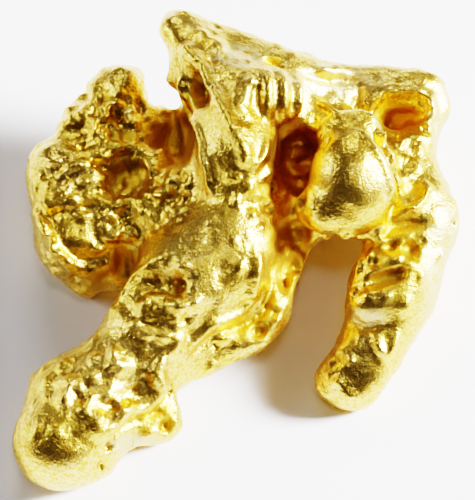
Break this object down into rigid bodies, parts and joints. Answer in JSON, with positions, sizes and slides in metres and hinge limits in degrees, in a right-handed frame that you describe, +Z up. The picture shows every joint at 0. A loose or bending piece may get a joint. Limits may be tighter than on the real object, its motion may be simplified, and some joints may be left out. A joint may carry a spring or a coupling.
{
  "type": "gold nugget",
  "caption": "Natural gold nugget: one lumpy, pitted, water-worn piece with an arched leg, a spongy side and a blunt foot; rests on small worn flats.",
  "frame": {"origin": "centre of the bounding box at the table surface that the nugget rests on", "axes": "+Z up from the table, +X across the broad face from the spongy side towards the leg, +Y from the foot towards the prong"},
  "size_m": [0.018, 0.0192, 0.008],
  "materials": {
    "native_gold": "bright, grainy natural gold, glossy on the worn lobes and orange in the pits"
  },
  "bodies": {
    "root": {"nugget": "native_gold"}
  },
  "joints": []
}
